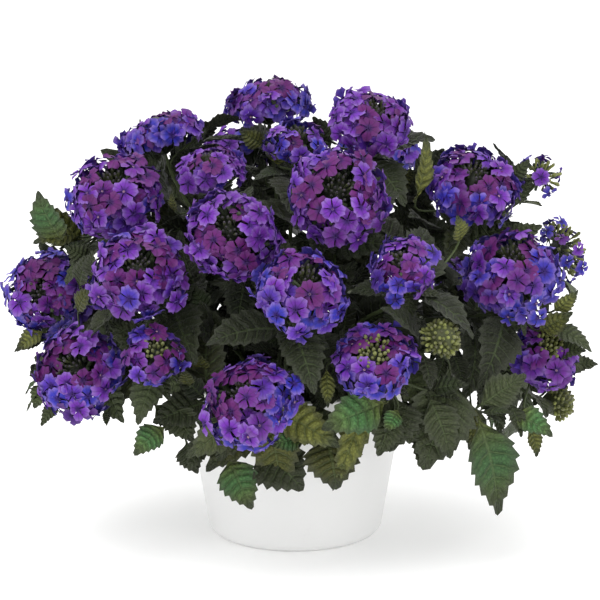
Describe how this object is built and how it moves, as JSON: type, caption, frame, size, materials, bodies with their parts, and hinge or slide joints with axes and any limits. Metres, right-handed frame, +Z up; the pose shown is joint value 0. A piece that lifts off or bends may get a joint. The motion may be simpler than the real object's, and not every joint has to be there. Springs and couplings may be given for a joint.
{
  "type": "potted verbena",
  "caption": "Mound of leafy stems with domed heads of purple florets, planted in a plain round pot that stands on its flat base.",
  "frame": {"origin": "centre of the flat underside of the pot", "axes": "+Z up through the plant, -Y towards the side that the picture shows, +X to that view's right"},
  "size_m": [0.3652, 0.3197, 0.2879],
  "materials": {
    "pot": "moulded white plastic, satin",
    "soil": "moist bark and peat potting mix, crumbly",
    "petals": "thin velvety petals, purple with a plum eye and a blue-violet edge",
    "foliage": "dull wrinkled leaves and hairy green stems"
  },
  "bodies": {
    "root": {"pot": "pot", "soil": "soil", "head_01": "petals", "head_02": "petals", "head_03": "petals", "head_04": "petals", "head_05": "petals", "head_06": "petals", "head_07": "petals", "head_08": "petals", "head_09": "petals", "head_10": "petals", "head_11": "petals", "head_12": "petals", "head_13": "petals", "head_14": "petals", "head_15": "petals", "head_16": "petals", "head_17": "petals", "head_18": "petals", "head_19": "petals", "head_20": "petals", "head_21": "petals", "head_22": "petals", "head_23": "petals", "head_24": "petals", "head_25": "petals", "head_26": "petals", "head_27": "petals", "head_30": "petals", "stem_01": "foliage", "stem_02": "foliage", "stem_03": "foliage", "stem_04": "foliage", "stem_05": "foliage", "stem_06": "foliage", "stem_07": "foliage", "stem_08": "foliage", "stem_09": "foliage", "stem_10": "foliage", "stem_11": "foliage", "stem_12": "foliage", "stem_13": "foliage", "stem_14": "foliage", "stem_15": "foliage", "stem_16": "foliage", "stem_17": "foliage", "stem_18": "foliage", "stem_19": "foliage", "stem_20": "foliage", "stem_21": "foliage", "stem_22": "foliage", "stem_23": "foliage", "stem_24": "foliage", "stem_25": "foliage", "stem_26": "foliage", "stem_27": "foliage", "stem_28": "foliage", "stem_29": "foliage", "stem_30": "foliage"}
  },
  "joints": []
}
